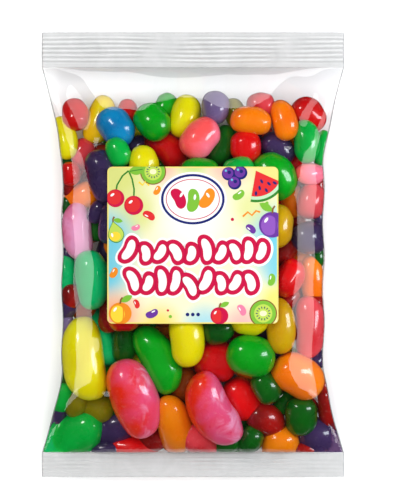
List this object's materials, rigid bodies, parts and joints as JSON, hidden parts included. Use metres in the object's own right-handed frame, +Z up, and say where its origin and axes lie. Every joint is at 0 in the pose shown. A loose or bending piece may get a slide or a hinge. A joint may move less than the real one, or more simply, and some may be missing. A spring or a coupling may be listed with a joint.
{
  "type": "bag of jelly beans",
  "caption": "Sealed clear pillow bag full of large mixed jelly beans, lying on its back, with ribbed heat seals at both ends and a square paper label on its front.",
  "frame": {"origin": "on the surface the bag lies on, under the middle of the bag", "axes": "+Z up out of the bag's front, +Y along the bag towards its top seal, +X across it to the right"},
  "size_m": [0.15, 0.221, 0.0418],
  "materials": {
    "film": "thin clear film, glossy, whitish at the crimped seals",
    "label": "satin printed sticker",
    "red": "smooth sugar shell, glossy under a thin wax glaze",
    "green": "smooth sugar shell, glossy under a thin wax glaze",
    "teal": "smooth sugar shell, glossy under a thin wax glaze",
    "yellow": "smooth sugar shell, glossy under a thin wax glaze",
    "orange": "smooth sugar shell, glossy under a thin wax glaze",
    "purple": "smooth sugar shell, glossy under a thin wax glaze",
    "pink": "smooth sugar shell, glossy under a thin wax glaze, mottled",
    "blue": "smooth sugar shell, glossy under a thin wax glaze"
  },
  "bodies": {
    "root": {"bag": "film", "label": "label"}
  },
  "joints": []
}
